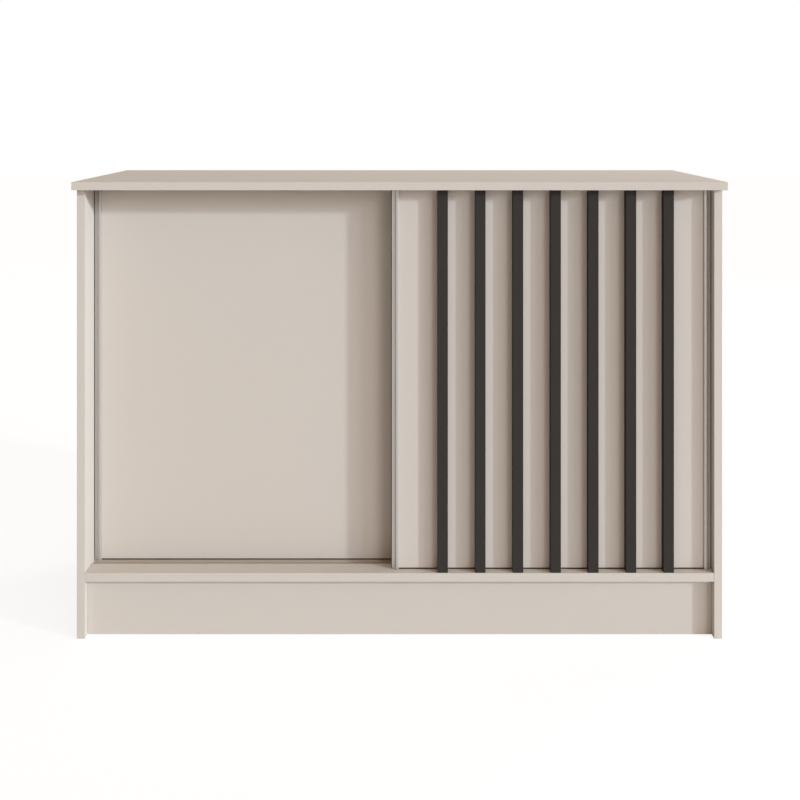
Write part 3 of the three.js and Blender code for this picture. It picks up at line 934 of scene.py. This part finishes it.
# %% Screws
SCREW_RADII = [0, 1.9, 1.9, 3.3, 3.5, 3.45, 3.0, 2.0, 0]
SCREW_HEIGHTS = [-2.5, -2.5, 0.02, 0.02, 0.25, 0.8, 1.35, 1.7, 1.85]
SCREW_STEPS = 32
CROSS_REACH = 2.1 * MM
CROSS_HALF = 0.45 * MM
CROSS_DEPTH = 1.1 * MM
CROSS_BEND = 0.2 * MM


def screw_pattern():
    """Radii against height for shank and pan head, less a cross whose arms have rounded ends."""
    profile = np.column_stack([SCREW_RADII, SCREW_HEIGHTS]) * MM
    screw = turned("screw", profile, Y, (0, 0, 0), SCREW_STEPS)
    a, b = CROSS_HALF, CROSS_REACH
    upper_arms = [[a, a], [a, b], [-a, b], [-a, a], [-b, a], [-b, -a]]
    lower_arms = [[-a, -a], [-a, -b], [a, -b], [a, -a], [b, -a], [b, a]]
    outline = rounded(upper_arms + lower_arms, CROSS_BEND)
    top = profile[-1, 1]
    cross = extruded("cutter", outline, Y, top - CROSS_DEPTH, top + CUT_OVERRUN)
    return combined(screw, [cross], "DIFFERENCE")


def repeated(name, pattern, places):
    """One mesh with a copy of the pattern at each place: its points plus the place, its faces renumbered."""
    mesh = pattern.data
    points = np.zeros(len(mesh.vertices) * 3)
    mesh.vertices.foreach_get("co", points)
    points = points.reshape(1, -1, 3) + np.array(places, dtype=float)[:, None]
    faces = []
    for copy in range(len(places)):
        first = copy * points.shape[1]
        faces += [[first + corner for corner in face.vertices] for face in mesh.polygons]
    made = bpy.data.meshes.new(name)
    made.from_pydata(points.reshape(-1, 3).tolist(), [], faces)
    made.polygons.foreach_set("use_smooth", [True] * len(faces))
    piece = bpy.data.objects.new(name, made)
    bpy.context.scene.collection.objects.link(piece)
    return piece


screw = screw_pattern()
print("one screw:", len(screw.data.polygons), "faces")

# %% [markdown]
# A carriage housing is moulded nylon: a plate with four screws, and a boss that narrows to the axle. Plate
# and boss are two extrusions joined by a Boolean, and the Bevel modifier gives the joint and all the edges
# the small radius that a mould has.

# %% Roller housings
PLATE_BACK = 3.0 * MM
PLATE_HEIGHT = 40.0 * MM
PLATE_CORNER = 4.0 * MM
SCREW_INSET = 8.0 * MM
SCREW_HOLE = 2.2 * MM
SCREW_HOLE_HALF = 6.0 * MM
BOSS_HALF = 13.0 * MM
BOSS_FOOT_HALF = 5.7 * MM
BOSS_DROP = 10.0 * MM  # of the boss's top below the plate's upper edge
BOSS_BENDS = np.array([4, 4, 3, 3, 3, 3]) * MM
AXLE_HOLE = 2.3 * MM
AXLE_HOLE_DEPTH = 5.0 * MM
SOFT_EDGE = 0.5 * MM


def plate(name, low, high, front):
    """A rectangle with bent corners, as thick as a housing's plate."""
    return extruded(name, rounded(rectangle(low, high), PLATE_CORNER), Y, front, front + PLATE_BACK)


def screwed_on(made, name, door, node, places, edge, others=()):
    """Drills a moulding for its screws and takes out any others, softens its edges and sets the screws in."""
    drills = [rod(SCREW_HOLE, -SCREW_HOLE_HALF, SCREW_HOLE_HALF, Y, place) for place in places]
    combined(made, [*others, *drills], "DIFFERENCE")
    softened(made, edge)
    dress(made, nylon_finish, door, "black_nylon", node)
    return dress(repeated(f"made_{name}_screws", screw, places), zinc_finish, door, "steel")


def roller_housing(door, end):
    """A plate, and a boss whose outline narrows to the axle, drilled for the axle and four screws."""
    node = f"{door}_{end}_roller_housing"
    low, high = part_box(node)
    axle_low, axle_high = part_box(f"{door}_{end}_axle")
    middle = (low.x + high.x) / 2
    axle_level = (axle_low.z + axle_high.z) / 2
    plate_low = high.z - PLATE_HEIGHT
    points = [
        [middle - BOSS_FOOT_HALF, axle_level - BOSS_FOOT_HALF],
        [middle + BOSS_FOOT_HALF, axle_level - BOSS_FOOT_HALF],
        [middle + BOSS_HALF, axle_level + BOSS_FOOT_HALF],
        [middle + BOSS_HALF, high.z - BOSS_DROP],
        [middle - BOSS_HALF, high.z - BOSS_DROP],
        [middle - BOSS_HALF, axle_level + BOSS_FOOT_HALF],
    ]
    boss = extruded("boss", rounded(points, BOSS_BENDS), Y, low.y + SEAM, high.y)
    made = plate("made_" + node, (low.x, plate_low), (high.x, high.z), low.y)
    combined(made, [boss], "UNION")
    levels = (plate_low + SCREW_INSET, high.z - SCREW_INSET)
    places = [(x, low.y + PLATE_BACK, z) for x in (low.x + SCREW_INSET, high.x - SCREW_INSET) for z in levels]
    axle_hole = rod(AXLE_HOLE, -AXLE_HOLE_DEPTH, CUT_OVERRUN, Y, (middle, high.y, axle_level))
    return screwed_on(made, f"{door}_{end}_housing", door, node, places, SOFT_EDGE, [axle_hole])


for door, end in DOOR_ENDS:
    roller_housing(door, end)
print("housings made:", len(DOOR_ENDS))

# %% [markdown]
# A wheel is turned as a closed ring: bore, hub, dished web and a rim with soft corners on both sides. The
# axle is a steel pin with a domed head that keeps the wheel on.

# %% Wheels and axles
WHEEL_STEPS = 64
WHEEL_RADII = [2.3, 2.45, 4.6, 4.8, 4.95, 5.3, 8.0, 8.3, 8.4, 8.6, 10.3, 10.75, 11.0]
WHEEL_HALVES = [2.35, 2.5, 2.5, 2.3, 1.75, 1.7, 1.7, 1.8, 2.3, 2.5, 2.5, 2.3, 1.9]
AXLE_RADII = np.array([0, 1.6, 2, 2, 3.2, 3.4, 3.0, 2.0, 0]) * MM
AXLE_TIP = 0.4 * MM
AXLE_HEAD = 1.0 * MM


def wheel_ring():
    """Radius and half width from the bore to the tread, then the same mirrored, as one closed loop."""
    side = np.column_stack([WHEEL_RADII, WHEEL_HALVES])
    return np.vstack([side * [1, -1], side[::-1]]) * MM


def wheel_and_axle(door, end):
    """The ring turned about its node's middle, and the axle's radii from its tip to its domed head."""
    node = f"{door}_{end}_wheel"
    low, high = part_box(node)
    centre = (low + high) / 2
    made = turned("made_" + node, wheel_ring(), Y, centre, WHEEL_STEPS, ring=True)
    dress(made, wheel_finish, node, "wheel_nylon", node)
    node = f"{door}_{end}_axle"
    low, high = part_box(node)
    head = high.y - AXLE_HEAD
    shank = [low.y, low.y, low.y + AXLE_TIP, head]
    dome = [head, head + 0.2 * MM, high.y - 0.3 * MM, high.y - 0.05 * MM, high.y]
    profile = np.column_stack([AXLE_RADII, shank + dome])
    pin = turned("made_" + node, profile, Y, (centre.x, 0, centre.z), HOLE_STEPS)
    return dress(pin, zinc_finish, door, "steel", node)


for door, end in DOOR_ENDS:
    wheel_and_axle(door, end)
print("wheels made:", len(DOOR_ENDS))

# %% [markdown]
# The guide at a door's head is moulded like the housing: a screwed plate, an arm that reaches back, and a
# neck with a head that runs in the top track. Arm, neck and head have one outline seen from the side.

# %% Top guides
GUIDE_ARM_HALF = 11.0 * MM
GUIDE_ARM_HEIGHT = 10.0 * MM
GUIDE_PLATE_HEIGHT = 30.0 * MM
GUIDE_NECK = 1.0 * MM  # of the head past the neck, on both sides
GUIDE_HEAD_WIDTH = 8.0 * MM
GUIDE_BENDS = np.array([0.2, 2.0, 0.5, 0.4, 1.2, 1.2, 0.4, 0.5, 1.5, 0.2]) * MM
GUIDE_SCREW_REACH = 12.5 * MM
GUIDE_SCREW_RISE = 9.0 * MM
GUIDE_SOFT_EDGE = SOFT_EDGE * 0.7


def top_guide(door, end):
    """A plate, and an arm whose side outline runs back, up the neck and round the head, with two screws."""
    node = f"{door}_{end}_top_guide"
    low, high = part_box(node)
    middle = (low.x + high.x) / 2
    plate_top = low.z + GUIDE_PLATE_HEIGHT
    head_low = top_low.z + SEAM
    head_front = high.y - GUIDE_HEAD_WIDTH
    points = [
        [low.y + SEAM, plate_top - GUIDE_ARM_HEIGHT],
        [high.y - GUIDE_NECK, plate_top - GUIDE_ARM_HEIGHT],
        [high.y - GUIDE_NECK, head_low],
        [high.y, head_low],
        [high.y, high.z],
        [head_front, high.z],
        [head_front, head_low],
        [head_front + GUIDE_NECK, head_low],
        [head_front + GUIDE_NECK, plate_top],
        [low.y + SEAM, plate_top],
    ]
    outline = rounded(points, GUIDE_BENDS)
    arm = extruded("arm", outline, X, middle - GUIDE_ARM_HALF, middle + GUIDE_ARM_HALF)
    made = plate("made_" + node, (low.x, low.z), (high.x, plate_top), low.y)
    combined(made, [arm], "UNION")
    reach = (-GUIDE_SCREW_REACH, GUIDE_SCREW_REACH)
    places = [(middle + x, low.y + PLATE_BACK, low.z + GUIDE_SCREW_RISE) for x in reach]
    return screwed_on(made, f"{door}_{end}_guide", door, node, places, GUIDE_SOFT_EDGE)


for door, end in DOOR_ENDS:
    top_guide(door, end)
bpy.data.objects.remove(screw)
print("top guides made:", len(DOOR_ENDS))

# %% [markdown]
# Rubber stops fill the ends of the top tracks. The thin backs are pressed fibreboard: raw and brown behind,
# and with a printed film of the cabinet's colour inside, so their forward faces take the boards' finish.

# %% Stops and backs
STOP_RADIUS = 1.0 * MM
BACK_RADIUS = 0.25 * MM
FORWARD = -0.9  # the Y of a face's normal, below which it counts as turned forward

for name in ("front", "rear"):
    for end in HANDS:
        node = f"{name}_track_{end}_stop"
        dress(node_board(node, Z, STOP_RADIUS), rubber_and_gap_shade_finish, "cabinet", "stop_rubber", node)

for end in HANDS:
    node = f"{end}_back_panel"
    panel = dress(node_board(node, Y, BACK_RADIUS), fibre_finish, "cabinet", "back_fibreboard", node)
    panel.data.materials.append(board_finish)
    normals = np.zeros(len(panel.data.polygons) * 3)
    panel.data.polygons.foreach_get("normal", normals)
    forward = normals.reshape(-1, 3)[:, Y] < FORWARD
    panel.data.polygons.foreach_set("material_index", forward.astype(np.int32))
print("forward faces of the last back:", forward.sum())

# %% [markdown]
# Nails with flat heads hold the backs to the sides and to the base board. One nail is turned, and its mesh
# is repeated up both sides and along the foot.

# %% Nails
NAIL_SHANK = 0.7 * MM
NAIL_HEAD = 2.4 * MM
NAIL_BEVEL = 0.92  # of the head's radius, where its flat begins
NAIL_SUNK = 1.0 * MM
NAIL_PROUD = 0.5 * MM
NAIL_STEPS = 20
NAIL_PITCH = 85.0 * MM
NAIL_TOP_MARGIN = 12.0 * MM
NAIL_MIDDLE_MARGIN = 20.0 * MM

nail_radii = [0, NAIL_SHANK, NAIL_SHANK, NAIL_HEAD, NAIL_HEAD * NAIL_BEVEL, 0]
nail_heights = [-NAIL_SUNK, -NAIL_SUNK, 0, 0, 0.7 * NAIL_PROUD, NAIL_PROUD]
nail = turned("nail", np.column_stack([nail_radii, nail_heights]), Y, (0, 0, 0), NAIL_STEPS)

back_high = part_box("right_back_panel")[1]
side_low, side_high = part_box("right_side_panel")
base_low, base_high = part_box("base_panel")
nail_x = (side_low.x + side_high.x) / 2
nail_z = (base_low.z + base_high.z) / 2
up = np.linspace(nail_z, back_high.z - NAIL_TOP_MARGIN, round((back_high.z - nail_z) / NAIL_PITCH))
across = np.linspace(NAIL_MIDDLE_MARGIN, nail_x, round(nail_x / NAIL_PITCH))[:-1]
columns = [(hand * nail_x, back_high.y, z) for hand in (-1, 1) for z in up]
row = [(hand * x, back_high.y, nail_z) for hand in (-1, 1) for x in across]
nails = repeated("made_back_nails", nail, columns + row)
dress(nails, zinc_finish, "cabinet", "steel")
bpy.data.objects.remove(nail)
print("nails:", len(columns) + len(row))

# %% [markdown]
# The cabinet stands on a plain pale floor under a white sky. The floor shows white to the camera and in
# gloss, with a thin share of real shading left, so the cabinet's own shadow still grounds it. The light
# that the sky gives is warm, and brightest from high on the front right.

# %% Floor and sky
FLOOR_HALF = 14.0
FLOOR_LIGHT = 0.85
FLOOR_GLOW = 0.86
FLOOR_SHADE = 0.2
WHITE = (1, 1, 1, 1)
SKY_COLOUR = (1.0, 0.81, 0.64, 1)
SKY_LEAN = (0.3, -0.3, 0.9)
SKY_BRIGHTEST = 0.81


def seen_or_lit(tree, seen, lit):
    """One shader for rays from the camera, off gloss or through glass, and the other for all other light."""
    path = add_node(tree, "ShaderNodeLightPath").outputs
    first = maths(tree, "ADD", path["Is Camera Ray"], path["Is Glossy Ray"])
    inputs = {0: first, 1: path["Is Transmission Ray"]}
    share = add_node(tree, "ShaderNodeMath", inputs, operation="ADD", use_clamp=True).outputs[0]
    return add_node(tree, "ShaderNodeMixShader", {0: share, 1: lit, 2: seen}).outputs[0]


def pale_floor():
    """A light grey for the light that falls on it, and glow + dark grey where it is seen."""
    material = bpy.data.materials.new("pale_floor")
    material.use_nodes = True
    tree = material.node_tree
    tree.nodes.clear()
    light, dark = [(level, level, level, 1) for level in (FLOOR_LIGHT, FLOOR_SHADE)]
    lit = add_node(tree, "ShaderNodeBsdfDiffuse", {"Color": light}).outputs[0]
    shade = add_node(tree, "ShaderNodeBsdfDiffuse", {"Color": dark}).outputs[0]
    glow = add_node(tree, "ShaderNodeEmission", {"Color": WHITE, "Strength": FLOOR_GLOW}).outputs[0]
    seen = add_node(tree, "ShaderNodeAddShader", {0: glow, 1: shade}).outputs[0]
    add_node(tree, "ShaderNodeOutputMaterial", {"Surface": seen_or_lit(tree, seen, lit)})
    return material


def white_sky():
    """White where it is seen. It lights with brightest times the cosine of the angle to the lean, or 0."""
    world = bpy.data.worlds.new("sky")
    world.use_nodes = True
    tree = world.node_tree
    tree.nodes.clear()
    dot = {0: add_node(tree, "ShaderNodeTexCoord").outputs["Generated"], 1: Vector(SKY_LEAN).normalized()}
    cosine = add_node(tree, "ShaderNodeVectorMath", dot, operation="DOT_PRODUCT").outputs["Value"]
    level = add_node(tree, "ShaderNodeMapRange", {"Value": cosine, "To Max": SKY_BRIGHTEST}).outputs["Result"]
    lit = add_node(tree, "ShaderNodeBackground", {"Color": SKY_COLOUR, "Strength": level}).outputs[0]
    seen = add_node(tree, "ShaderNodeBackground", {"Color": WHITE, "Strength": 1.0}).outputs[0]
    add_node(tree, "ShaderNodeOutputWorld", {"Surface": seen_or_lit(tree, seen, lit)})
    return world


floor_corners = rectangle((-FLOOR_HALF, -FLOOR_HALF), (FLOOR_HALF, FLOOR_HALF))
floor_mesh = bpy.data.meshes.new("floor")
floor_mesh.from_pydata(np.column_stack([floor_corners, np.zeros(4)]).tolist(), [], [[0, 1, 2, 3]])
floor = bpy.data.objects.new("floor", floor_mesh)
bpy.context.scene.collection.objects.link(floor)
floor.data.materials.append(pale_floor())
bpy.context.scene.world = white_sky()
print("floor and sky ready")

# %% [markdown]
# Three far lamps stand to the right, each a disc in the sky of its own size. The small one throws the clear
# shadows of the top, the slats and the front door, and the two wide ones soften what lies inside them. A
# panel behind on the right grazes the top board, which grows lighter towards it.

# %% Lamps
FAR_LAMPS = {  # the direction that it stands in, strength, width in degrees, colour
    "key": ((2.07, -1.0, 0.62), 1.84, 3.2, (0.81, 0.95, 1.0)),
    "side_fill": ((1.5, -1.0, 0.49), 0.75, 11.0, (0.61, 0.76, 1.0)),
    "front_fill": ((0.62, -1.0, 0.3), 0.74, 24.0, (0.9, 0.93, 1.0)),
}
REAR_TOWARDS = (2.6, 2.0, 1.6)
REAR_PLACE = (2.6, 2.0, 2.4)
REAR_SIZE = (1.6, 1.2)
REAR_POWER = 61.0
REAR_COLOUR = (0.78, 0.9, 1.0)


def lamp(name, kind, direction, energy, colour):
    """A lamp that shines from the given direction: its own Z axis points that way."""
    data = bpy.data.lights.new(name, kind)
    data.energy = energy
    data.color = colour
    made = bpy.data.objects.new(name, data)
    made.rotation_euler = Vector(direction).to_track_quat("Z", "Y").to_euler()
    bpy.context.scene.collection.objects.link(made)
    return made


for name, (direction, strength, degrees, colour) in FAR_LAMPS.items():
    far = lamp(name, "SUN", direction, strength, colour)
    far.data.angle = np.radians(degrees)

rear_panel = lamp("rear_panel", "AREA", REAR_TOWARDS, REAR_POWER, REAR_COLOUR)
rear_panel.data.shape = "RECTANGLE"
rear_panel.data.size, rear_panel.data.size_y = REAR_SIZE
rear_panel.location = REAR_PLACE
bpy.context.scene.view_settings.view_transform = "Standard"
print("lamps:", len(FAR_LAMPS) + 1)
